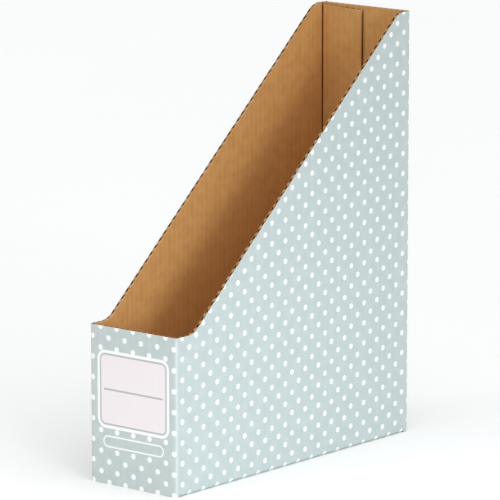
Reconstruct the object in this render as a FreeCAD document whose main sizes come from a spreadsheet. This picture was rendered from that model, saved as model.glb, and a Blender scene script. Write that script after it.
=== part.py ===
"""Folding magazine file: one die-cut, creased blank of single-wall corrugated board.

Row frame in millimetres: +Z up, +X to the file's right, front panel facing -Y, and the
origin at the middle of the footprint.  Every panel of the blank is three sheets of paper:
a printed outer liner, a fluted medium and a kraft inner liner.  Panels end on the fold
axes, and a quarter-round crease of crushed board bridges each fold.
"""

import FreeCAD, Part
import os
import Sketcher

DRIVING = {
    "width": 80.0,  # outside, across the spine
    "depth": 260.0,  # outside, front to back
    "height": 311.0,  # back panel
    "front_height": 112.5,  # front panel
    "rise_start": 18.5,  # where the straight slope would leave the front height
    "rise_end": 246.5,  # where the straight slope would reach the full height
    "knee_radius": 15.0,  # hollow curve at the foot of the slope
    "crown_radius": 16.0,  # round corner at the top of the slope
    "board": 2.6,  # corrugated board, liner to liner
    "liner": 0.3,
    "medium": 0.25,  # paper of the fluted sheet
    "flute_pitch": 5.05,
    "flute_land": 0.9,  # width of the glued crest of a flute
    "base_front_gap": 0.5,  # base panel's front edge to the front wall
    "base_back_gap": 3.0,  # base panel's back edge to the back wall, which swings past it
    "foot_gap": 0.15,  # from the end of the base's fold to the foot of the right wall
    "base_gap": 0.8,  # clearance between the tucked flap and the left wall
    "tuck_height": 22.0,
    "tuck_taper": 8.0,
    "tuck_inset": 20.0,
    "lap_width": 36.0,  # glue lap inside the back panel
    "lap_foot": 6.0,  # height of the lap's lower edge
    "lap_drop": 1.5,  # top of the lap below the top of the back panel
    "lap_slant": 1.7,
    "glue": 0.15,  # thickness of the glue film
    "glue_margin": 5.0,
    "trim": 0.3,  # the back panel's cut edge stands this far inside the left wall's face
}

X, Y, Z = FreeCAD.Vector(1, 0, 0), FreeCAD.Vector(0, 1, 0), FreeCAD.Vector(0, 0, 1)

# expressions used by several panels
INNER_X = "(Sheet.width / 2 - Sheet.board)"
INNER_Y = "(Sheet.depth / 2 - Sheet.board)"
WALL_W = "(Sheet.width - 2 * Sheet.board)"
WALL_D = "(Sheet.depth - 2 * Sheet.board)"
LAP_Y = "(Sheet.depth / 2 - 2 * Sheet.board - Sheet.glue)"
LEFT_D = "(Sheet.depth - 3 * Sheet.board - Sheet.glue)"
TUCK_X = "(Sheet.width / 2 - 2 * Sheet.board - Sheet.base_gap)"
BASE_LENGTH = f"({WALL_D} - Sheet.base_front_gap - Sheet.base_back_gap)"
FOOT = f"({WALL_D} - Sheet.base_back_gap + Sheet.foot_gap)"
BASE_WIDTH = f"({INNER_X} + {TUCK_X})"

# name: outline (u, v), corner of the inner face, direction of u, direction of v, flutes run along
PANELS = {
    "right_wall": (
        [
            ("0", "Sheet.board"),
            (FOOT, "Sheet.board"),
            (FOOT, "0"),
            (WALL_D, "0"),
            (WALL_D, "Sheet.height"),
            ("Sheet.rise_end - Sheet.board", "Sheet.height"),
            ("Sheet.rise_start - Sheet.board", "Sheet.front_height"),
            ("0", "Sheet.front_height"),
        ],
        (INNER_X, f"-{INNER_Y}", "0"), Y, Z, "v",
    ),
    "left_wall": (
        [
            ("0", "0"),
            (LEFT_D, "0"),
            (LEFT_D, "Sheet.front_height"),
            (f"{LEFT_D} + Sheet.board - Sheet.rise_start", "Sheet.front_height"),
            (f"{LEFT_D} + Sheet.board - Sheet.rise_end", "Sheet.height"),
            ("0", "Sheet.height"),
        ],
        (f"-{INNER_X}", LAP_Y, "0"), -Y, Z, "v",
    ),
    "front_wall": (
        [
            ("0", "0"),
            (WALL_W, "0"),
            (WALL_W, "Sheet.front_height"),
            ("0", "Sheet.front_height"),
        ],
        (f"-{INNER_X}", f"-{INNER_Y}", "0"), X, Z, "v",
    ),
    "back_wall": (
        [
            ("0", "0"),
            (f"{WALL_W} + Sheet.board - Sheet.trim", "0"),
            (f"{WALL_W} + Sheet.board - Sheet.trim", "Sheet.height"),
            ("0", "Sheet.height"),
        ],
        (INNER_X, INNER_Y, "0"), -X, Z, "v",
    ),
    "glue_lap": (
        [
            ("0", "Sheet.lap_foot + 4 * Sheet.lap_slant"),
            ("Sheet.lap_width", "Sheet.lap_foot"),
            ("Sheet.lap_width", "Sheet.height - Sheet.lap_drop"),
            ("0", "Sheet.height - Sheet.lap_drop - Sheet.lap_slant"),
        ],
        (f"Sheet.lap_width - {INNER_X}", LAP_Y, "0"), -X, Z, "v",
    ),
    "base_panel": (
        [("0", "0"), (BASE_LENGTH, "0"), (BASE_LENGTH, BASE_WIDTH), ("0", BASE_WIDTH)],
        (f"-{TUCK_X}", f"Sheet.base_front_gap - {INNER_Y}", "Sheet.board"), Y, X, "v",
    ),
    "tuck_flap": (
        [
            ("0", "0"),
            (f"{BASE_LENGTH} - 2 * Sheet.tuck_inset", "0"),
            (f"{BASE_LENGTH} - 2 * Sheet.tuck_inset - Sheet.tuck_taper", "Sheet.tuck_height"),
            ("Sheet.tuck_taper", "Sheet.tuck_height"),
        ],
        (f"-{TUCK_X}", f"{INNER_Y} - Sheet.base_back_gap - Sheet.tuck_inset", "Sheet.board"), -Y, Z, "v",
    ),
}

# name: fold axis point, direction of the axis, direction where the quarter starts, length
CREASES = {
    "front_right_crease": ((INNER_X, f"-{INNER_Y}", "0"), Z, -Y, "Sheet.front_height"),
    "front_left_crease": ((f"-{INNER_X}", f"-{INNER_Y}", "0"), Z, -X, "Sheet.front_height"),
    "back_right_crease": ((INNER_X, INNER_Y, "0"), Z, X, "Sheet.height"),
    "back_left_crease": ((f"-{INNER_X}", LAP_Y, "0"), Z, Y, "Sheet.height"),
    "base_crease": ((INNER_X, f"Sheet.base_front_gap - {INNER_Y}", "Sheet.board"), Y, X, BASE_LENGTH),
    "tuck_crease": (
        (f"-{TUCK_X}", f"Sheet.base_front_gap + Sheet.tuck_inset - {INNER_Y}", "Sheet.board"), Y, -Z,
        f"{BASE_LENGTH} - 2 * Sheet.tuck_inset",
    ),
}

# panel: outline corners that are rounded, and their radii
ROUNDED = {
    "right_wall": ((6, "knee_radius"), (5, "crown_radius")),
    "left_wall": ((3, "knee_radius"), (4, "crown_radius")),
}


def make_sheet(doc):
    """The spreadsheet of driving dimensions, one alias a row."""
    sheet = doc.addObject("Spreadsheet::Sheet", "Sheet")
    for row, (alias, value) in enumerate(DRIVING.items(), start=1):
        sheet.set(f"A{row}", alias)
        sheet.set(f"B{row}", str(value))
        sheet.setAlias(f"B{row}", alias)
    doc.recompute()
    return sheet


def place(obj, corner, along, up, lift="0"):
    """Puts an object's local x along `along`, its y along `up`, and binds its corner to the sheet.

    `lift` moves it out along the panel's outward normal, the local z direction."""
    normal = along.cross(up)
    rotation = FreeCAD.Rotation(along, up, normal, "ZXY")
    obj.Placement = FreeCAD.Placement(FreeCAD.Vector(), rotation)
    for name, value, part in zip("xyz", corner, normal):
        side = {1: "+", -1: "-"}.get(round(part))
        bound = f"{value} {side} {lift}" if side and lift != "0" else value
        obj.setExpression(f"Placement.Base.{name}", bound)


def outline_sketch(body, outline):
    """A closed polygon on the body's XY plane, each corner bound to the sheet."""
    plane = [f for f in body.Origin.OriginFeatures if f.Role == "XY_Plane"][0]
    sketch = body.newObject("Sketcher::SketchObject", f"{body.Name}_outline")
    sketch.AttachmentSupport = [(plane, "")]
    sketch.MapMode = "FlatFace"
    sheet = body.Document.Sheet
    points = [
        FreeCAD.Vector(*(float(sheet.evalExpression(e)) for e in corner), 0)
        for corner in outline
    ]
    count = len(points)
    for i, start in enumerate(points):
        sketch.addGeometry(Part.LineSegment(start, points[(i + 1) % count]), False)
    for i, (u, v) in enumerate(outline):
        sketch.addConstraint(Sketcher.Constraint("Coincident", i, 2, (i + 1) % count, 1))
        bounds = (("DistanceX", -2, u, points[i].x), ("DistanceY", -1, v, points[i].y))
        for kind, axis, value, size in bounds:
            if value == "0":
                sketch.addConstraint(Sketcher.Constraint("PointOnObject", i, 1, axis))
                continue
            datum = sketch.addConstraint(Sketcher.Constraint(kind, -1, 1, i, 1, size))
            sketch.setExpression(f"Constraints[{datum}]", value)
    return sketch


def rounding(body, feature, radius, corner):
    """Rounds the panel-thickness edge that stands nearest to `corner`, in the panel's own plane."""
    body.Document.recompute()
    edges = feature.Shape.Edges
    across = [
        i for i, e in enumerate(edges)
        if abs(e.Vertexes[0].Z - e.Vertexes[-1].Z) > 0.9 * feature.Shape.BoundBox.ZLength
    ]
    best = min(across, key=lambda i: (edges[i].CenterOfMass - corner).Length)
    fillet = body.newObject("PartDesign::Fillet", f"{body.Name}_{radius}")
    fillet.Base = (feature, [f"Edge{best + 1}"])
    fillet.setExpression("Radius", f"Sheet.{radius}")
    return fillet


def liner(doc, name, panel, lift):
    """One flat sheet of liner paper, cut to the panel's outline."""
    outline, corner, along, up, _ = PANELS[panel]
    body = doc.addObject("PartDesign::Body", name)
    body.Label = name
    sketch = outline_sketch(body, outline)
    pad = body.newObject("PartDesign::Pad", f"{name}_sheet")
    pad.Profile = sketch
    pad.setExpression("Length", "Sheet.liner")
    feature = pad
    for index, radius in ROUNDED.get(panel, ()):
        corner_uv = [float(doc.Sheet.evalExpression(e)) for e in outline[index]]
        feature = rounding(body, feature, radius, FreeCAD.Vector(*corner_uv, 0))
    body.Tip = feature
    place(body, corner, along, up, lift)
    return body


def wave_points(length, pitch, land, low, high):
    """The corners of a fluted line: flat glued crests joined by straight slopes."""
    points = []
    slope = pitch / 2 - land
    at = -pitch
    while at < length + pitch:
        points += [
            (at, low), (at + land, low),
            (at + land + slope, high), (at + 2 * land + slope, high),
        ]
        at += pitch
    return points


def fluting(doc, name, panel, inner):
    """The fluted sheet between the liners, cut to the same outline as the inner liner."""
    sheet = doc.Sheet
    _, corner, along, up, runs = PANELS[panel]
    low = sheet.liner
    high = sheet.board - sheet.liner - sheet.medium
    flat = inner.Tip.Shape
    box = flat.BoundBox
    length, across = (box.XLength, box.YLength) if runs == "v" else (box.YLength, box.XLength)
    line = wave_points(length, sheet.flute_pitch, sheet.flute_land, low, high)
    loop = line + [(s, z + sheet.medium) for s, z in reversed(line)]
    if runs == "v":
        corners = [FreeCAD.Vector(box.XMin + s, box.YMin, z) for s, z in loop]
        sweep = FreeCAD.Vector(0, across, 0)
    else:
        corners = [FreeCAD.Vector(box.XMin, box.YMin + s, z) for s, z in loop]
        sweep = FreeCAD.Vector(across, 0, 0)
    sheet_of_flutes = Part.Face(Part.makePolygon(corners + corners[:1])).extrude(sweep)
    top = max((f for f in flat.Faces if f.normalAt(0, 0).z > 0.9), key=lambda f: f.Area)
    blank = top.extrude(FreeCAD.Vector(0, 0, sheet.board - 2 * sheet.liner))
    feature = doc.addObject("Part::Feature", name)
    feature.Label = name
    feature.Shape = sheet_of_flutes.common(blank)
    place(feature, corner, along, up)
    return feature


def crease(doc, name):
    """A quarter round of crushed board about a fold axis."""
    point, axis, start, length = CREASES[name]
    quarter = doc.addObject("Part::Cylinder", name)
    quarter.Label = name
    quarter.setExpression("Radius", "Sheet.board")
    quarter.setExpression("Height", length)
    quarter.Angle = 90
    quarter.Placement.Rotation = FreeCAD.Rotation(start, axis.cross(start), axis, "ZXY")
    for coordinate, value in zip("xyz", point):
        quarter.setExpression(f"Placement.Base.{coordinate}", value)
    return quarter


def glue_line(doc):
    """The film of glue between the lap and the back panel."""
    film = doc.addObject("Part::Box", "glue_line")
    film.Label = "glue_line"
    film.setExpression("Length", "Sheet.lap_width - 2 * Sheet.glue_margin")
    film.setExpression("Width", "Sheet.glue")
    film.setExpression("Height", "Sheet.height - 6 * Sheet.glue_margin")
    film.setExpression("Placement.Base.x", f"Sheet.glue_margin - {INNER_X}")
    film.setExpression("Placement.Base.y", f"{LAP_Y} + Sheet.board")
    film.setExpression("Placement.Base.z", "4 * Sheet.glue_margin")
    return film


def build():
    doc = FreeCAD.newDocument("magazine_file")
    make_sheet(doc)
    parts = []
    for panel in PANELS:
        inner = liner(doc, f"{panel}_inner_liner", panel, "0")
        outer = liner(doc, f"{panel}_outer_liner", panel, "(Sheet.board - Sheet.liner)")
        doc.recompute()
        parts += [inner, outer, fluting(doc, f"{panel}_fluting", panel, inner)]
    parts += [crease(doc, name) for name in CREASES]
    parts.append(glue_line(doc))
    doc.recompute()
    return doc, parts


def check(doc, parts):
    """Stops before anything is written if an object failed or a sub-part is not a sound solid."""
    for obj in doc.Objects:
        if {"Invalid", "Error"} & set(obj.State):
            raise RuntimeError(f"{obj.Name} failed: {obj.State}")
    for part in parts:
        shape = part.Shape
        if shape.isNull() or not shape.isValid() or not shape.Solids:
            raise RuntimeError(f"{part.Label} is not a valid solid")


def write(parts):
    os.makedirs("parts", exist_ok=True)
    for part in parts:
        part.Shape.exportStep(f"parts/{part.Label}.step")


document, sub_parts = build()
check(document, sub_parts)
write(sub_parts)
for part in sub_parts:
    box = part.Shape.BoundBox
    print(f"{part.Label:28s} {part.Shape.Volume:9.1f} mm3  solids {len(part.Shape.Solids)}  "
          f"x {box.XMin:7.1f} {box.XMax:6.1f}  y {box.YMin:7.1f} {box.YMax:6.1f}  z {box.ZMin:6.1f} {box.ZMax:6.1f}")
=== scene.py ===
"""A folding magazine file in dotted corrugated board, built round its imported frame.

Every panel is three sheets, as the board is: a printed outer liner, a wavy fluted sheet and a
bare kraft inner liner.  All of them carry one UV map, "blank", whose unit is a metre of board laid
flat, so the print runs unbroken round the folds.
"""

import math

import bmesh
import bpy
from mathutils import Matrix, Vector


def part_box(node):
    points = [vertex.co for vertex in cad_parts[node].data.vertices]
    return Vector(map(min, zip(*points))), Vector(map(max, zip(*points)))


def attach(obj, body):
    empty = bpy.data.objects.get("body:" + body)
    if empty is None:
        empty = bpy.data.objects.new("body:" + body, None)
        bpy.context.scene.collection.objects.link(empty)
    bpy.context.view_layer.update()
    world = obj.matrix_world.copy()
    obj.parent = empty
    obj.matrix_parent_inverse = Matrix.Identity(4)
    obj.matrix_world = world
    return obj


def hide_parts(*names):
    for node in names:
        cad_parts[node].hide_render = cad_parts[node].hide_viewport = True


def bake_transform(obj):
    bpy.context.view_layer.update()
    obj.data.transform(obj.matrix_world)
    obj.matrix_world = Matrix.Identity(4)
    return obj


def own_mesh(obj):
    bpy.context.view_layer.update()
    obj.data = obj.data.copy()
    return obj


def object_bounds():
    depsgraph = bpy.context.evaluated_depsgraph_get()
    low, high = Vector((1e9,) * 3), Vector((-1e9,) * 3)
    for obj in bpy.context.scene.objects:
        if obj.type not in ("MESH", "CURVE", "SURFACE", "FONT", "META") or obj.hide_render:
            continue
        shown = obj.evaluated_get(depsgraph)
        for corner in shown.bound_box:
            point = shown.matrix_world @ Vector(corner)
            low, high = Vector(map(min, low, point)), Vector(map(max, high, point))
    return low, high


bl_info = {
    "name": "Folding Magazine File",
    "version": (1, 0, 0),
    "blender": (4, 5, 0),
    "location": "View3D > Sidebar > Magazine File",
    "description": "Builds a folding magazine file of printed corrugated board, panel by panel",
    "category": "Add Mesh",
}

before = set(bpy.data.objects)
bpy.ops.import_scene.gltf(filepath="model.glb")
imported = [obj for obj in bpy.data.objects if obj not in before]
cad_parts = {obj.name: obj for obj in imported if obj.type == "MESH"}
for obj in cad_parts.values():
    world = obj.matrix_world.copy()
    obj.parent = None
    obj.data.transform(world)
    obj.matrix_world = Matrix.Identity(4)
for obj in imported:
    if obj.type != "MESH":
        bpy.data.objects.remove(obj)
CAD_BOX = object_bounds()

X, Y, Z = Vector((1, 0, 0)), Vector((0, 1, 0)), Vector((0, 0, 1))
MM = 0.001
RIGHT_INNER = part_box("right_wall_inner_liner")
RIGHT_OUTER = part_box("right_wall_outer_liner")
BOARD = RIGHT_OUTER[1].x - RIGHT_INNER[0].x
LINER = RIGHT_INNER[1].x - RIGHT_INNER[0].x
MEDIUM = 0.25 * MM  # paper of the fluted sheet
FRESH = 1.6 * MM  # the flutes are bruised pale this far in from a cut edge
PULL = 0.22 * MM  # how far the cutting rule pulls a sheet's cut edge down
SLIP = 0.02 * MM  # how far paper and beads stay off a fold's own line, so that both can turn there
FOOT_GAP = 0.15 * MM  # between the end of the base's fold and the right wall's foot
COLUMNS_PER_FLUTE = 12
ROUND_SEGMENTS = 14  # of a rounded corner of an outline
FOLD_STEPS = 12  # of a bead's quarter round
PRESSED = 0.035  # share of its radius by which the middle of a fold is pressed flat
FRONT_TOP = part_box("front_wall_outer_liner")[1].z
FOLD = BOARD * math.pi / 2  # printed surface that goes round a square fold
HALF_FOLD = FOLD / 2
FRONT_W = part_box("front_wall_outer_liner")[1].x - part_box("front_wall_outer_liner")[0].x
RIGHT_D = RIGHT_OUTER[1].y - RIGHT_OUTER[0].y
LEFT_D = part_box("left_wall_outer_liner")[1].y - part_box("left_wall_outer_liner")[0].y

# where each panel starts on the flat blank; 0 is the middle of the front right fold
FRONT_LEFT_EDGE = -HALF_FOLD - FRONT_W
LEFT_FRONT_EDGE = FRONT_LEFT_EDGE - FOLD
BACK_RIGHT_EDGE = HALF_FOLD + RIGHT_D + FOLD
LAP_EDGE = LEFT_FRONT_EDGE - LEFT_D - FOLD
BASE_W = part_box("base_panel_outer_liner")[1].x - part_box("base_panel_outer_liner")[0].x
BASE_EDGE = BOARD - FOLD - BASE_W
FOLD_BOXES = [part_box(name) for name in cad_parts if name.endswith("_crease")]


def linear(hex_colour):
    """An sRGB hex colour as linear RGBA."""
    channels = [int(hex_colour[i : i + 2], 16) / 255 for i in (1, 3, 5)]
    return (*(c / 12.92 if c < 0.04045 else ((c + 0.055) / 1.055) ** 2.4 for c in channels), 1.0)


def length(name, description, default):
    """A length property in metres."""
    return bpy.props.FloatProperty(
        name=name, description=description, default=default, min=0.0, precision=5, unit="LENGTH"
    )


def colour(name, description, hex_colour):
    """A colour property, given as an sRGB hex value."""
    return bpy.props.FloatVectorProperty(
        name=name, description=description, default=linear(hex_colour), size=4, min=0.0, max=1.0,
        subtype="COLOR",
    )


class MagazineFileSizes(bpy.types.PropertyGroup):
    """Sizes of the cut and of the print."""

    slope_start: length(
        "Slope start", "From the front face to where the slope leaves the front height", 18.5 * MM
    )
    slope_end: length(
        "Slope end", "From the front face to where the slope reaches the full height", 246.5 * MM
    )
    knee_radius: length("Knee radius", "Hollow curve at the foot of the slope", 15.0 * MM)
    crown_radius: length("Crown radius", "Round corner at the top of the slope", 16.0 * MM)
    flute_pitch: length("Flute pitch", "Crest to crest of the fluted sheet", 5.05 * MM)
    dot_column: length("Dot column", "Half the spacing of the dots across", 7.45 * MM)
    dot_row: length("Dot row", "Half the spacing of the dots up and down", 7.37 * MM)
    dot_diameter: length("Dot diameter", "Unprinted dots", 4.0 * MM)
    dot_start_across: length("First dot across", "From the front right fold's middle", 5.4 * MM)
    dot_start_up: length("First dot up", "From the lower edge", 8.7 * MM)
    label_width: length("Label width", "Outer width of the printed label", 65.8 * MM)
    label_height: length("Label height", "Outer height of the printed label", 55.6 * MM)
    label_middle: length("Label middle", "Height of the label's middle", 68.0 * MM)
    label_inset: length("Label inset", "From the front right fold to the label", 4.2 * MM)
    label_corner: length("Label corner", "Outer corner radius of the label", 7.0 * MM)
    label_border: length("Label border", "White border round the label", 2.2 * MM)
    label_line: length("Label line", "Thin line inside the border", 1.3 * MM)
    rule_width: length("Rule width", "Writing rule across the label", 54.0 * MM)
    rule_height: length("Rule height", "Thickness of the writing rule", 1.3 * MM)
    band_width: length("Band width", "Blank outlined band under the label", 56.0 * MM)
    band_height: length("Band height", "Height of the blank band", 8.6 * MM)
    band_middle: length("Band middle", "Height of the blank band's middle", 30.8 * MM)
    band_line: length("Band line", "White outline of the blank band", 1.1 * MM)


class MagazineFileFinishes(bpy.types.PropertyGroup):
    """Colours of the papers and the inks."""

    ink: colour("Ink", "Pale blue-green flood print", "#B9C5C2")
    ink_light: colour("Thin ink", "The print where it lies thin on the paper", "#C0CBC9")
    white: colour("White liner", "Bleached paper left bare in the dots and the label", "#F1F3F1")
    field: colour("Label field", "Writing field of the label", "#EAE3E4")
    line: colour("Label line", "Thin ring in the label", "#B3B9B6")
    rule: colour("Rule", "Writing rule on the label", "#B5B3B2")
    kraft: colour("Kraft", "Bare inner liner", "#D3A061")
    kraft_dark: colour("Dark kraft", "Fibres and flute shadows in the kraft", "#C58F54")
    # painted shade: dark kraft laid along the inside of each upright fold, standing in for the
    # shadow in the crease
    painted_crease_shade: colour("Score", "Kraft darkened where the scoring rule crushed it", "#5E3A1E")
    cut: colour("Cut edge", "Fresh fibres on a cut edge of the paper", "#D6B795")
    white_cut: colour("White cut edge", "Cut edge of the bleached outer liner", "#F3EDE2")
    # partly the fluted sheet's own brown, partly painted shade: kept dark so that the flute cells
    # read as shaded; it also colours the liners' hidden faces inside the cells
    flute: colour("Flute", "Recycled paper of the fluted sheet", "#5E3F26")
    flute_dark: colour("Dark flute", "Grey patches in the recycled paper", "#4B311D")
    glue: colour("Glue", "Dried glue film", "#D8C9A8")


# ---------------------------------------------------------------- materials


def add_node(tree, kind, settings=None, inputs=None):
    """Adds a shader node, sets its attributes, and links or sets its inputs."""
    node = tree.nodes.new("ShaderNode" + kind)
    for name, value in (settings or {}).items():
        setattr(node, name, value)
    for socket, value in (inputs or {}).items():
        if isinstance(value, bpy.types.NodeSocket):
            tree.links.new(value, node.inputs[socket])
        else:
            node.inputs[socket].default_value = value
    return node


def start_material(name, roughness, specular):
    """A matt material: its node tree and its shader, with constants on the shader's sockets."""
    material = bpy.data.materials.new(name)
    material.use_nodes = True
    tree = material.node_tree
    shader = tree.nodes["Principled BSDF"]
    shader.inputs["Roughness"].default_value = roughness
    shader.inputs["Specular IOR Level"].default_value = specular
    return material, tree, shader


def mixed(tree, factor, first, second):
    """The colour that goes from first to second as the factor goes from 0 to 1."""
    node = add_node(tree, "Mix", {"data_type": "RGBA"}, {0: factor, 6: first, 7: second})
    return node.outputs[2]


def step(tree, value, low, high):
    """0 below low and 1 above high; it falls instead if low is above high."""
    inputs = {"Value": value, "From Min": low, "From Max": high}
    if low > high:
        inputs = {"Value": value, "From Min": high, "From Max": low, "To Min": 1.0, "To Max": 0.0}
    node = add_node(tree, "MapRange", {"interpolation_type": "SMOOTHSTEP"}, inputs)
    return node.outputs["Result"]


def box_distance(tree, uv, middle, size, corner):
    """Signed distance in metres from a rounded rectangle on the blank, negative inside it."""
    moved = add_node(tree, "VectorMath", {"operation": "SUBTRACT"}, {0: uv, 1: (*middle, 0)})
    folded = add_node(tree, "VectorMath", {"operation": "ABSOLUTE"}, {0: moved.outputs[0]})
    core = (size[0] / 2 - corner, size[1] / 2 - corner, 0)
    out = add_node(tree, "VectorMath", {"operation": "SUBTRACT"}, {0: folded.outputs[0], 1: core})
    kept = add_node(tree, "VectorMath", {"operation": "MAXIMUM"}, {0: out.outputs[0], 1: (0, 0, 0)})
    far = add_node(tree, "VectorMath", {"operation": "LENGTH"}, {0: kept.outputs[0]})
    inputs = {0: far.outputs["Value"], 1: corner}
    return add_node(tree, "Math", {"operation": "SUBTRACT"}, inputs).outputs[0]


def near_lines(tree, across, lines, inner, outer):
    """1 within `inner` metres of any of the upright lines on the blank, fading to 0 at `outer`."""
    nearest = None
    for line in lines:
        away = add_node(tree, "Math", {"operation": "SUBTRACT"}, {0: across, 1: line})
        away = add_node(tree, "Math", {"operation": "ABSOLUTE"}, {0: away.outputs[0]}).outputs[0]
        if nearest is not None:
            away = add_node(tree, "Math", {"operation": "MINIMUM"}, {0: nearest, 1: away})
            away = away.outputs[0]
        nearest = away
    return step(tree, nearest, outer, inner)


def blank_patterns(tree, pitch):
    """What every liner shares: blank coordinates, the flutes under the paper, and its fibres."""
    uv = add_node(tree, "UVMap", {"uv_map": "blank"}).outputs["UV"]
    across = add_node(tree, "SeparateXYZ", None, {0: uv}).outputs["X"]
    turns = add_node(tree, "Math", {"operation": "MULTIPLY"}, {0: across, 1: 2 * math.pi / pitch})
    wave = add_node(tree, "Math", {"operation": "SINE"}, {0: turns.outputs[0]}).outputs[0]
    # fibres lie across the flutes, about 2.5 mm long; drawn 0.25 mm wide so that they show
    stretched = add_node(tree, "Mapping", None, {"Vector": uv, "Scale": (400, 4000, 1)})
    fibres = add_node(
        tree, "TexNoise", {"noise_dimensions": "2D"},
        {"Vector": stretched.outputs[0], "Scale": 1.0, "Detail": 3.0, "Roughness": 0.65},
    ).outputs["Fac"]
    # cloudy formation of the sheet, patches about 8 mm across
    clouds = add_node(
        tree, "TexNoise", {"noise_dimensions": "2D"}, {"Vector": uv, "Scale": 120.0, "Detail": 4.0}
    ).outputs["Fac"]
    return uv, across, wave, fibres, clouds


def paper_bump(tree, shader, wave, fibres, wave_height, fibre_height):
    """Washboarding over the flutes and the tooth of the paper, in metres."""
    washboard = add_node(
        tree, "Bump", None, {"Height": wave, "Distance": wave_height, "Strength": 1.0}
    ).outputs[0]
    tooth = add_node(
        tree, "Bump", None,
        {"Height": fibres, "Distance": fibre_height, "Strength": 1.0, "Normal": washboard},
    )
    tree.links.new(tooth.outputs[0], shader.inputs["Normal"])


def printed_liner(sizes, paints):
    """White-top liner, flood printed by flexography: matt, faintly washboarded by the flutes."""
    material, tree, shader = start_material("flexo_printed_white_top_liner", 0.62, 0.35)
    uv, across, wave, fibres, clouds = blank_patterns(tree, sizes.flute_pitch)
    # the ink is a little thin over the flutes' hollows and clouds with the paper
    thin = add_node(tree, "Math", {"operation": "MULTIPLY_ADD"}, {0: wave, 1: 0.05, 2: clouds})
    ink = mixed(tree, step(tree, thin.outputs[0], 0.25, 0.85), paints.ink, paints.ink_light)
    # the print is stretched pale along the very edge of an upright fold
    fold_lines = (0.0, FRONT_LEFT_EDGE - HALF_FOLD, BACK_RIGHT_EDGE - HALF_FOLD)
    edges = near_lines(tree, across, fold_lines, 0.2 * MM, 1.1 * MM)
    paleness = 0.25
    worn = add_node(tree, "Math", {"operation": "MULTIPLY"}, {0: edges, 1: paleness})
    ink = mixed(tree, worn.outputs[0], ink, paints.white)
    # dots on a square lattice turned by 45 degrees
    root = math.sqrt(2)
    first_dot = (
        sizes.dot_start_across / sizes.dot_column / 2, sizes.dot_start_up / sizes.dot_row / 2,
    )
    lattice = add_node(
        tree, "Mapping", None,
        {
            "Vector": uv,
            "Scale": (1 / sizes.dot_column / root, 1 / sizes.dot_row / root, 1),
            "Rotation": (0, 0, math.radians(45)),
            "Location": (first_dot[1] - first_dot[0], -first_dot[0] - first_dot[1], 0),
        },
    )
    dots = add_node(
        tree, "TexVoronoi", {"voronoi_dimensions": "2D"},
        {"Vector": lattice.outputs[0], "Scale": 1.0, "Randomness": 0.0},
    )
    radius = sizes.dot_diameter / (sizes.dot_column + sizes.dot_row) / root
    dot = step(tree, dots.outputs["Distance"], radius * 1.08, radius * 0.92)
    surface = mixed(tree, dot, ink, paints.white)
    # the label: white border, a thin ring, then the writing field with its rule
    soft = 0.12 * MM
    label_middle = (-HALF_FOLD - sizes.label_inset - sizes.label_width / 2, sizes.label_middle)
    label_size = (sizes.label_width, sizes.label_height)
    label = box_distance(tree, uv, label_middle, label_size, sizes.label_corner)
    ring = -sizes.label_border
    field = ring - sizes.label_line
    surface = mixed(tree, step(tree, label, soft, -soft), surface, paints.white)
    surface = mixed(tree, step(tree, label, ring + soft, ring - soft), surface, paints.line)
    surface = mixed(tree, step(tree, label, field + soft, field - soft), surface, paints.field)
    rule_size, rule_corner = (sizes.rule_width, sizes.rule_height), 0.3 * MM
    rule = box_distance(tree, uv, label_middle, rule_size, rule_corner)
    surface = mixed(tree, step(tree, rule, soft, -soft), surface, paints.rule)
    # a blank outlined band, with plain ink inside it
    band_middle = (label_middle[0], sizes.band_middle)
    band = box_distance(
        tree, uv, band_middle, (sizes.band_width, sizes.band_height), sizes.band_height / 2
    )
    surface = mixed(tree, step(tree, band, soft, -soft), surface, paints.white)
    inside = -sizes.band_line
    surface = mixed(tree, step(tree, band, inside + soft, inside - soft), surface, ink)
    tree.links.new(surface, shader.inputs["Base Color"])
    paper_bump(tree, shader, wave, fibres, 0.035 * MM, 0.02 * MM)
    return material


def kraft_liner(sizes, paints):
    """Bare kraft: brown, matt and fibrous, with flute shadows that show as faint stripes and
    painted shade beside the upright folds.
    """
    material, tree, shader = start_material("bare_kraft_liner", 0.8, 0.2)
    _, across, wave, fibres, clouds = blank_patterns(tree, sizes.flute_pitch)
    base = mixed(tree, step(tree, fibres, 0.35, 0.72), paints.kraft_dark, paints.kraft)
    shade = add_node(tree, "Math", {"operation": "MULTIPLY_ADD"}, {0: wave, 1: 0.09, 2: clouds})
    base = mixed(tree, step(tree, shade.outputs[0], 0.75, 0.3), base, paints.kraft)
    # painted shade: a dark line on the kraft beside each upright fold, standing in for the shadow
    # in the crease
    fold_lines = (
        0.0, FRONT_LEFT_EDGE - HALF_FOLD, BACK_RIGHT_EDGE - HALF_FOLD, LAP_EDGE + HALF_FOLD,
    )
    crease_shade_mask = near_lines(tree, across, fold_lines, HALF_FOLD + 0.5 * MM, HALF_FOLD + 1.0 * MM)
    base = mixed(tree, crease_shade_mask, base, paints.painted_crease_shade)
    tree.links.new(base, shader.inputs["Base Color"])
    paper_bump(tree, shader, wave, fibres, 0.05 * MM, 0.04 * MM)
    return material


def fluted_paper(sizes, paints):
    """Recycled medium: thin, dull brown paper with a coarse, uneven tooth; its dark colour is
    partly painted shade for the flute cells.
    """
    material, tree, shader = start_material("fluting_medium_with_painted_cell_shade", 0.88, 0.15)
    _, _, wave, fibres, clouds = blank_patterns(tree, sizes.flute_pitch)
    base = mixed(tree, step(tree, clouds, 0.3, 0.7), paints.flute, paints.flute_dark)
    tree.links.new(base, shader.inputs["Base Color"])
    paper_bump(tree, shader, wave, fibres, 0.0, 0.05 * MM)
    return material


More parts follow.
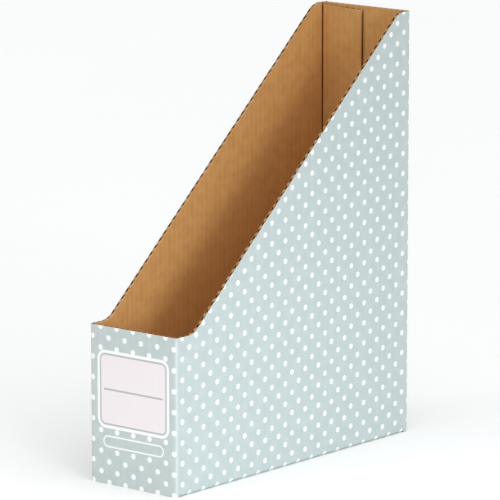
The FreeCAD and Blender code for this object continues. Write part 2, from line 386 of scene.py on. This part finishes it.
def cut_paper(sizes, name, fresh, stained):
    """Cut edge of a sheet of paper: pale torn fibres, rough and matt."""
    material, tree, shader = start_material(name, 0.92, 0.1)
    _, _, wave, fibres, clouds = blank_patterns(tree, sizes.flute_pitch)
    base = mixed(tree, step(tree, clouds, 0.35, 0.65), fresh, stained)
    tree.links.new(base, shader.inputs["Base Color"])
    paper_bump(tree, shader, wave, fibres, 0.0, 0.05 * MM)
    return material


def glue_film(paints):
    """Dried starch glue: a thin, cloudy, slightly glossy film."""
    material, tree, shader = start_material("dried_starch_glue", 0.4, 0.5)
    place = add_node(tree, "TexCoord").outputs["Object"]
    # clouds about 3 mm across, where the kraft shows through
    clouds = add_node(
        tree, "TexNoise", None, {"Vector": place, "Scale": 300.0, "Detail": 3.0}
    ).outputs["Fac"]
    base = mixed(tree, step(tree, clouds, 0.3, 0.7), paints.glue, paints.kraft)
    tree.links.new(base, shader.inputs["Base Color"])
    return material


def studio_white():
    """Painted floor: an even, pale matt surface."""
    material, tree, shader = start_material("matt_studio_floor", 0.9, 0.1)
    place = add_node(tree, "TexCoord").outputs["Object"]
    clouds = add_node(tree, "TexNoise", None, {"Vector": place, "Scale": 3.0}).outputs["Fac"]
    base = mixed(tree, clouds, linear("#F6F5F2"), linear("#F9F8F5"))
    tree.links.new(base, shader.inputs["Base Color"])
    return material


def board_materials(scene):
    """The liner and flute materials, made once and shared by every piece."""
    sizes, paints = scene.magazine_file_sizes, scene.magazine_file_finishes
    made = bpy.data.materials
    return {
        "printed": made.get("flexo_printed_white_top_liner") or printed_liner(sizes, paints),
        "kraft": made.get("bare_kraft_liner") or kraft_liner(sizes, paints),
        "flute": made.get("fluting_medium_with_painted_cell_shade") or fluted_paper(sizes, paints),
        "cut": made.get("cut_kraft_paper_edge")
        or cut_paper(sizes, "cut_kraft_paper_edge", paints.cut, paints.kraft),
        "white_cut": made.get("cut_bleached_paper_edge")
        or cut_paper(sizes, "cut_bleached_paper_edge", paints.white_cut, paints.cut),
    }


# ------------------------------------------------------------------- panels


def panel_place(node_stem, along, up):
    """A panel's inner corner and size, read from its two liners in the frame."""
    inner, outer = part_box(f"{node_stem}_inner_liner"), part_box(f"{node_stem}_outer_liner")
    low = Vector(map(min, inner[0], outer[0]))
    high = Vector(map(max, inner[1], outer[1]))
    normal = along.cross(up)
    corner = Vector()
    for direction in (along, up, normal):
        axis = max(range(3), key=lambda i: abs(direction[i]))
        corner[axis] = low[axis] if direction[axis] > 0 else high[axis]
    across = abs((high - low).dot(along))
    tall = abs((high - low).dot(up))
    matrix = Matrix((along, up, normal)).transposed().to_4x4()
    return Matrix.Translation(corner) @ matrix, across, tall


def side_outline(sizes, across, tall, foot, mirrored):
    """Corners of a side wall, and which of them are rounded: a low front, a slope, a tall back.

    `foot` lists the corners of its lower edge.  A mirrored wall has its back edge at the start."""
    knee = (sizes.slope_start - BOARD, FRONT_TOP)
    crown = (sizes.slope_end - BOARD, tall)
    corners = [*foot, (across, 0), (across, tall), crown, knee, (0, FRONT_TOP)]
    rounded = {knee: sizes.knee_radius, crown: sizes.crown_radius}
    if mirrored:
        corners = [(across - u, v) for u, v in reversed(corners)]
        rounded = {(across - u, v): r for (u, v), r in rounded.items()}
    return corners, rounded


def cut_outline(corners, rounded):
    """A flat bmesh face cut to the outline, with its rounded corners bevelled into arcs."""
    bm = bmesh.new()
    points = [bm.verts.new((u, v, 0)) for u, v in corners]
    bm.faces.new(points)
    if bm.faces[:][0].normal.z < 0:
        bmesh.ops.reverse_faces(bm, faces=bm.faces[:])
    for (u, v), radius in rounded.items():
        vert = min(bm.verts, key=lambda p: (p.co - Vector((u, v, 0))).length)
        first, second = ((e.other_vert(vert).co - vert.co).normalized() for e in vert.link_edges)
        turn = math.pi - first.angle(second)
        bmesh.ops.bevel(
            bm, geom=[vert], offset=radius * math.tan(turn / 2), offset_type="OFFSET",
            segments=ROUND_SEGMENTS, profile=0.5, affect="VERTICES", material=-1,
        )
    return bm


def height_at(boundary, u):
    """The lowest and highest point of the outline at a distance along the panel."""
    found = []
    for (u1, v1), (u2, v2) in zip(boundary, boundary[1:] + boundary[:1]):
        if min(u1, u2) - 1e-7 <= u <= max(u1, u2) + 1e-7:
            share = 0.0 if abs(u2 - u1) < 1e-9 else (u - u1) / (u2 - u1)
            found.append(v1 + share * (v2 - v1))
            if abs(u2 - u1) < 1e-9:
                found.append(v2)
    return min(found), max(found)


def map_blank(bm, blank):
    """Writes the blank coordinates of a piece that is still lying in its panel's own plane."""
    layer = bm.loops.layers.uv.new("blank")
    for face in bm.faces:
        for loop in face.loops:
            loop[layer].uv = blank(loop.vert.co.x, loop.vert.co.y)


def is_folded(point):
    """Whether a point of a panel's outline, in the frame, is where a crease takes over."""
    touch = 0.2 * MM
    return any(
        all(low[i] - touch < point[i] < high[i] + touch for i in range(3))
        for low, high in FOLD_BOXES
    )


def pull_down_cut(bm, place, outward):
    """Rounds the visible side of a sheet's cut edges, which the cutting rule pulled down."""
    faces = [face for face in bm.faces if face.normal.z * outward > 0.9]
    rim = dict.fromkeys(edge for face in faces for edge in face.edges)
    cut = [e for e in rim if not is_folded(place @ ((e.verts[0].co + e.verts[1].co) / 2))]
    bmesh.ops.bevel(
        bm, geom=cut, offset=PULL, offset_type="OFFSET", segments=2, profile=0.5,
        affect="EDGES", material=-1,
    )


def finish_piece(bm, name, place, materials):
    """Turns a bmesh into a linked object at the origin, with its place in its mesh."""
    bm.transform(place)
    mesh = bpy.data.meshes.new(name)
    bm.to_mesh(mesh)
    bm.free()
    for material in materials:
        mesh.materials.append(material)
    piece = bpy.data.objects.new(name, mesh)
    bpy.context.scene.collection.objects.link(piece)
    return piece


def liner_piece(name, outline, blank, place, depth, outward, materials):
    """One flat sheet of paper: its outward face, its cut edges and its hidden face."""
    bm = cut_outline(*outline)
    grown = bmesh.ops.extrude_face_region(bm, geom=bm.faces[:])
    risen = [g for g in grown["geom"] if isinstance(g, bmesh.types.BMVert)]
    bmesh.ops.translate(bm, vec=(0, 0, LINER), verts=risen)
    bmesh.ops.recalc_face_normals(bm, faces=bm.faces[:])
    bmesh.ops.translate(bm, vec=(0, 0, depth), verts=bm.verts[:])
    pull_down_cut(bm, place, outward)
    for end in [face for face in bm.faces if abs(face.normal.z) < 0.1]:
        if is_folded(place @ end.calc_center_median()):
            bmesh.ops.translate(bm, vec=-SLIP * end.normal, verts=end.verts[:])
    for face in bm.faces:
        facing = face.normal.z * outward
        face.material_index = 1 if abs(facing) < 0.9 else (0 if facing > 0 else 2)
    map_blank(bm, blank)
    return finish_piece(bm, name, place, materials)


def fluting_piece(name, outline, blank, place, pitch, materials):
    """The wavy sheet between the liners, cut to the same outline."""
    flat = cut_outline(*outline)
    boundary = [(loop.vert.co.x, loop.vert.co.y) for loop in flat.faces[:][0].loops]
    flat.free()
    start, end = min(u for u, _ in boundary), max(u for u, _ in boundary)
    columns = round((end - start) / pitch * COLUMNS_PER_FLUTE)
    bm = bmesh.new()
    bmesh.ops.create_grid(bm, x_segments=columns, y_segments=2, size=0.5)
    ends = 0.5 - FRESH / (end - start)
    folded = {
        side: is_folded(place @ Vector((u, sum(height_at(boundary, u)) / 2, BOARD / 2)))
        for side, u in ((False, start), (True, end))
    }  # the ends that a crease hides aren't bruised pale, so their dark paper shows as a line of painted shade along the fold
    for face in bm.faces:
        middle = face.calc_center_median()
        at_end = abs(middle.x) > ends and not folded[middle.x > 0]
        face.material_index = 1 if middle.y > 0 or at_end else 0
    swing = (BOARD - MEDIUM) / 2 - LINER
    for vert in bm.verts:
        u = start + (vert.co.x + 0.5) * (end - start)
        low, high = height_at(boundary, min(max(u, start), end))
        depth = BOARD / 2 + swing * math.sin(2 * math.pi * u / pitch) - MEDIUM / 2
        rows = (low, max(low, high - FRESH), high)
        vert.co = (u, rows[round(vert.co.y * 2) + 1], depth)
    bmesh.ops.solidify(bm, geom=bm.faces[:], thickness=-MEDIUM)
    bmesh.ops.recalc_face_normals(bm, faces=bm.faces[:])
    for face in bm.faces:
        rim = abs(face.normal.y) > 0.3 or abs(face.normal.x) > 0.999
        if rim:
            face.material_index = 1
        face.smooth = not rim
    for edge in bm.edges:
        edge.smooth = len({face.material_index for face in edge.link_faces}) == 1
    map_blank(bm, blank)
    return finish_piece(bm, name, place, materials)


def build_panel(scene, stem, body, along, up, blank, shape):
    """Three sheets for one panel of the blank, each standing for its node."""
    place, across, tall = panel_place(stem, along, up)
    outline = shape(across, tall)
    stock = board_materials(scene)
    # each liner's hidden face, inside the flute cells, takes the dark flute paper as painted shade
    inner = liner_piece(
        f"kraft_{stem}", outline, blank, place, 0.0, -1,
        [stock["kraft"], stock["cut"], stock["flute"]],
    )
    printed_cut = stock["cut" if stem == "glue_lap" else "white_cut"]  # glue stains the lap's edge
    outer = liner_piece(
        f"printed_{stem}", outline, blank, place, BOARD - LINER, 1,
        [stock["printed"], printed_cut, stock["flute"]],
    )
    flutes = fluting_piece(
        f"flutes_{stem}", outline, blank, place, scene.magazine_file_sizes.flute_pitch,
        [stock["flute"], stock["cut"]],
    )
    for piece, node, slot in (
        (inner, "inner_liner", "kraft_liner"), (outer, "outer_liner", "printed_liner"),
        (flutes, "fluting", "fluting"),
    ):
        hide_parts(f"{stem}_{node}")
        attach(piece, body)


def plain(across, tall):
    """A rectangular outline."""
    return [(0, 0), (across, 0), (across, tall), (0, tall)], {}


class MAGFILE_OT_side_walls(bpy.types.Operator):
    """Build the two side walls, which rise from the low front to the tall back"""

    bl_idname = "magazine_file.side_walls"
    bl_label = "Side Walls"

    def execute(self, context):
        sizes = context.scene.magazine_file_sizes
        # the base's fold runs under this wall, up to a short foot at the back
        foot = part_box("base_crease")[1].y - RIGHT_OUTER[0].y + FOOT_GAP
        lower_edge = [(0, BOARD), (foot, BOARD), (foot, 0)]
        build_panel(
            context.scene, "right_wall", "right_side", Y, Z, lambda u, v: (HALF_FOLD + u, v),
            lambda across, tall: side_outline(sizes, across, tall, lower_edge, False),
        )
        build_panel(
            context.scene, "left_wall", "left_side", -Y, Z,
            lambda u, v: (LEFT_FRONT_EDGE - LEFT_D + u, v),
            lambda across, tall: side_outline(sizes, across, tall, [(0, 0)], True),
        )
        return {"FINISHED"}


class MAGFILE_OT_end_walls(bpy.types.Operator):
    """Build the low front panel, which carries the printed label, and the tall back panel"""

    bl_idname = "magazine_file.end_walls"
    bl_label = "Front and Back"

    def execute(self, context):
        build_panel(
            context.scene, "front_wall", "front", X, Z, lambda u, v: (FRONT_LEFT_EDGE + u, v), plain
        )
        build_panel(
            context.scene, "back_wall", "back", -X, Z, lambda u, v: (BACK_RIGHT_EDGE + u, v), plain
        )
        return {"FINISHED"}


class MAGFILE_OT_glue_lap(bpy.types.Operator):
    """Build the lap that closes the sleeve inside the back panel, and its film of glue"""

    bl_idname = "magazine_file.glue_lap"
    bl_label = "Glue Lap"

    def execute(self, context):
        slant, foot_slant = 1.7 * MM, 6.8 * MM

        def lap_outline(across, tall):
            return [(0, foot_slant), (across, 0), (across, tall), (0, tall - slant)], {}

        _, lap_width, _ = panel_place("glue_lap", -X, Z)
        build_panel(
            context.scene, "glue_lap", "back", -X, Z,
            lambda u, v: (LAP_EDGE - lap_width + u, v), lap_outline,
        )
        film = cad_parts["glue_line"]
        film.data.materials.clear()
        film.data.materials.append(glue_film(context.scene.magazine_file_finishes))
        return {"FINISHED"}


class MAGFILE_OT_bottom(bpy.types.Operator):
    """Build the base panel and the tapered flap that tucks in beside the left wall"""

    bl_idname = "magazine_file.bottom"
    bl_label = "Base and Tuck Flap"

    def execute(self, context):
        taper = 8.0 * MM
        fold_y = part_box("right_wall_outer_liner")[0].y
        base_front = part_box("base_panel_outer_liner")[0].y - fold_y
        tuck_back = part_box("tuck_flap_outer_liner")[1].y - fold_y

        def tuck_outline(across, tall):
            return [(0, 0), (across, 0), (across - taper, tall), (taper, tall)], {}

        build_panel(
            context.scene, "base_panel", "base", Y, X,
            lambda u, v: (HALF_FOLD + base_front + u, BASE_EDGE + v), plain,
        )
        build_panel(
            context.scene, "tuck_flap", "tuck", -Y, Z,
            lambda u, v: (HALF_FOLD + tuck_back - u, BASE_EDGE - FOLD - v), tuck_outline,
        )
        return {"FINISHED"}


# ------------------------------------------------------------------ creases


def crease_piece(name, node, axis, start, blank, stock):
    """A quarter-round bead of crushed board, printed on its outside and bare kraft on its inside.
    """
    low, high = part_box(node)
    side = axis.cross(start)
    outward = start + side
    corner = Vector()
    for i in range(3):
        corner[i] = low[i] if outward[i] > 0.5 or axis[i] > 0.5 else high[i]
    run = (high - low).dot(axis)
    bm = bmesh.new()
    rim = [bm.verts.new(p) for p in ((SLIP, 0, 0), (BOARD, 0, 0), (BOARD, 0, run), (SLIP, 0, run))]
    web = bm.faces.new(rim)
    bmesh.ops.spin(
        bm, geom=[web, *web.edges, *web.verts], cent=(0, 0, 0), axis=(0, 0, 1), angle=math.pi / 2,
        steps=FOLD_STEPS, use_merge=False,
    )
    bmesh.ops.remove_doubles(bm, verts=bm.verts[:], dist=0.002 * MM)
    bmesh.ops.recalc_face_normals(bm, faces=bm.faces[:])
    layer = bm.loops.layers.uv.new("blank")
    for face in bm.faces:
        middle = face.calc_center_median()
        outside = middle.xy.length > 0.9 * BOARD and abs(face.normal.z) < 0.5
        face.material_index = 0 if outside else 1
        face.smooth = outside
        for loop in face.loops:
            spot = loop.vert.co
            way = max(0.0, math.atan2(spot.y, spot.x)) * BOARD
            if not outside:  # the ends of the bead carry on the sheets of the panels beside it
                way += math.copysign(spot.xy.length, middle.y - middle.x)
            loop[layer].uv = blank(way, spot.z)
    for edge in bm.edges:
        edge.smooth = all(face.smooth for face in edge.link_faces)
    for vert in bm.verts:
        reach = vert.co.xy.length
        if reach > 0.9 * BOARD:
            turn = math.atan2(vert.co.y, vert.co.x)
            vert.co.xy *= 1 - PRESSED * math.sin(2 * turn) ** 2
    place = Matrix.Translation(corner) @ Matrix((start, side, axis)).transposed().to_4x4()
    piece = finish_piece(bm, name, place, [stock["printed"], stock["kraft"]])
    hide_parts(node)
    return piece, corner, start, side


class MAGFILE_OT_creases(bpy.types.Operator):
    """Build the folds that join the panels"""

    bl_idname = "magazine_file.creases"
    bl_label = "Creases"

    def execute(self, context):
        stock = board_materials(context.scene)
        base_start = HALF_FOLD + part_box("base_crease")[0].y - RIGHT_OUTER[0].y
        tuck_start = HALF_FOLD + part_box("tuck_crease")[0].y - RIGHT_OUTER[0].y
        left_front, right_back = LEFT_FRONT_EDGE, HALF_FOLD + RIGHT_D
        # name, axis, start, place on the blank, body at the start and at the end, opens or not
        folds = (
            ("front_right", Z, -Y, lambda a, h: (a - HALF_FOLD, h), "front", "right_side", True),
            ("front_left", Z, -X, lambda a, h: (left_front + a, h), "left_side", "front", False),
            ("back_right", Z, X, lambda a, h: (right_back + a, h), "right_side", "back", False),
            ("base", Y, X, lambda a, h: (base_start + h, BOARD - a), "right_side", "base", True),
            ("tuck", Y, -Z, lambda a, h: (tuck_start + h, BASE_EDGE - a), "base", "tuck", False),
        )
        for name, axis, start, blank, body_a, body_b, opens in folds:
            piece, corner, first, last = crease_piece(
                f"fold_{name}", f"{name}_crease", axis, start, blank, stock
            )
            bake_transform(piece)
        piece, corner, first, _ = crease_piece(
            "fold_back_left", "back_left_crease", Z, Y, lambda a, h: (LAP_EDGE + a, h), stock
        )
        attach(piece, "back")
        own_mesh(piece)
        return {"FINISHED"}


# -------------------------------------------------------------------- stage


def studio_light(name, kind, place, target, power, tint, **settings):
    """A light that faces its target; a sun's place only says where it shines from."""
    data = bpy.data.lights.new(name, kind)
    data.energy = power
    data.color = linear(tint)[:3]
    for setting, value in settings.items():
        setattr(data, setting, value)
    light = bpy.data.objects.new(name, data)
    light.location = place
    light.rotation_mode = "QUATERNION"
    light.rotation_quaternion = (Vector(target) - Vector(place)).to_track_quat("-Z", "Y")
    bpy.context.scene.collection.objects.link(light)


class MAGFILE_OT_stage(bpy.types.Operator):
    """Build the plain pale floor, the soft studio light and the camera"""

    bl_idname = "magazine_file.stage"
    bl_label = "Studio"

    def execute(self, context):
        scene = context.scene
        bm = bmesh.new()
        bmesh.ops.create_grid(bm, x_segments=1, y_segments=1, size=20.0)
        clearance = 0.02 * MM
        below = Matrix.Translation((0, 0, CAD_BOX[0].z - clearance))
        floor = finish_piece(bm, "studio_floor", below, [studio_white()])
        world = bpy.data.worlds.new("studio_air")
        world.use_nodes = True
        sky = world.node_tree.nodes["Background"]
        sky.inputs["Color"].default_value = linear("#F6FAFF")
        sky.inputs["Strength"].default_value = 0.25
        scene.world = world
        scene.view_settings.view_transform = "Standard"
        studio_light(
            "overcast_sun", "SUN", (0.28, -0.05, 1), (0, 0, 0), 2.75, "#FBFCFF",
            angle=math.radians(110),
        )
        studio_light(
            "side_spot", "SPOT", (1.6, -0.9, 0.35), (0.04, -0.12, 0.03), 56.0, "#EAF2FF",
            spot_size=math.radians(27), spot_blend=1.0, shadow_soft_size=0.25,
        )
        studio_light(
            "front_spot", "SPOT", (-0.6, -1.6, 0.5), (0, -0.13, 0.04), 27.0, "#FFF1E6",
            spot_size=math.radians(18), spot_blend=1.0, shadow_soft_size=0.25,
        )
        camera = bpy.data.cameras.new("studio_camera")
        camera.sensor_width = 36.0
        camera.lens = 316.8  # a long lens, about 3 m from the file
        camera.clip_end = 60.0
        viewer = bpy.data.objects.new("studio_camera", camera)
        right = Vector((0.7684, 0.6399, -0.0002))
        up = Vector((-0.1232, 0.1483, 0.9812))
        turn = Matrix((right, up, right.cross(up))).transposed().to_4x4()
        stand = (1.96295, -2.36028, 0.75315)
        viewer.matrix_world = Matrix.Translation(stand) @ turn
        scene.collection.objects.link(viewer)
        scene.camera = viewer
        return {"FINISHED"}


# ------------------------------------------------------------------- add-on


class MAGFILE_PT_panel(bpy.types.Panel):
    """Lists the pieces of the magazine file"""

    bl_label = "Magazine File"
    bl_idname = "MAGFILE_PT_panel"
    bl_space_type = "VIEW_3D"
    bl_region_type = "UI"
    bl_category = "Magazine File"

    def draw(self, context):
        for operator in OPERATORS:
            self.layout.operator(operator.bl_idname)
        for group in (context.scene.magazine_file_sizes, context.scene.magazine_file_finishes):
            column = self.layout.column(align=True)
            for name in group.bl_rna.properties.keys()[2:]:
                column.prop(group, name)


OPERATORS = (
    MAGFILE_OT_side_walls,
    MAGFILE_OT_end_walls,
    MAGFILE_OT_glue_lap,
    MAGFILE_OT_bottom,
    MAGFILE_OT_creases,
    MAGFILE_OT_stage,
)
CLASSES = (MagazineFileSizes, MagazineFileFinishes, *OPERATORS, MAGFILE_PT_panel)


def register():
    for cls in CLASSES:
        bpy.utils.register_class(cls)
    bpy.types.Scene.magazine_file_sizes = bpy.props.PointerProperty(type=MagazineFileSizes)
    bpy.types.Scene.magazine_file_finishes = bpy.props.PointerProperty(type=MagazineFileFinishes)


def unregister():
    del bpy.types.Scene.magazine_file_finishes
    del bpy.types.Scene.magazine_file_sizes
    for cls in reversed(CLASSES):
        bpy.utils.unregister_class(cls)


def main():
    register()
    bpy.ops.magazine_file.stage()
    bpy.ops.magazine_file.side_walls()
    bpy.ops.magazine_file.end_walls()
    bpy.ops.magazine_file.glue_lap()
    bpy.ops.magazine_file.bottom()
    bpy.ops.magazine_file.creases()


if __name__ == "__main__":
    main()
